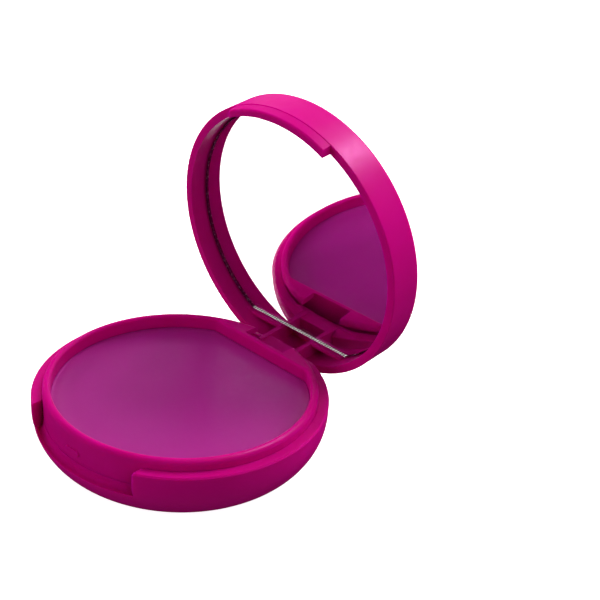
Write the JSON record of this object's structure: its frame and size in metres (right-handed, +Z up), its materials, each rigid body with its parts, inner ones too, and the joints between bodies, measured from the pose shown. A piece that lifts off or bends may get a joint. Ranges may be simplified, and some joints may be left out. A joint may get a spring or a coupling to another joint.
{
  "type": "hinged mirror compact with balm pan",
  "caption": "Round hinged compact: bowl-shaped base with a D-shaped pan of solid balm under a ledge-seated lid that carries a D-shaped mirror on a pinned hinge.",
  "frame": {"origin": "centre of the flat foot under the base shell", "axes": "+Z up out of the pan, +Y towards the hinge, -Y towards the thumb recess, X along the hinge pin"},
  "size_m": [0.06, 0.0682, 0.068],
  "materials": {
    "shell_plastic": "satin moulded",
    "pan_plastic": "satin moulded",
    "lid_plastic": "satin moulded",
    "balm": "waxy satin",
    "glass": "polished, ground edge",
    "silver": "silvered",
    "foam": "matt foam",
    "pin_steel": "drawn wire"
  },
  "bodies": {
    "base": {"base_shell": "shell_plastic", "balm_pan": "pan_plastic", "balm_fill": "balm", "hinge_pin": "pin_steel"},
    "lid": {"lid_shell": "lid_plastic", "mirror_glass": "glass", "mirror_silvering": "silver", "mirror_pad": "foam"}
  },
  "joints": [
    {"name": "lid_hinge", "type": "hinge", "parent": "base", "child": "lid", "pos_m": [0, 0.0273, 0.01], "axis": [1, 0, 0], "range_deg": [0, 84]}
  ]
}
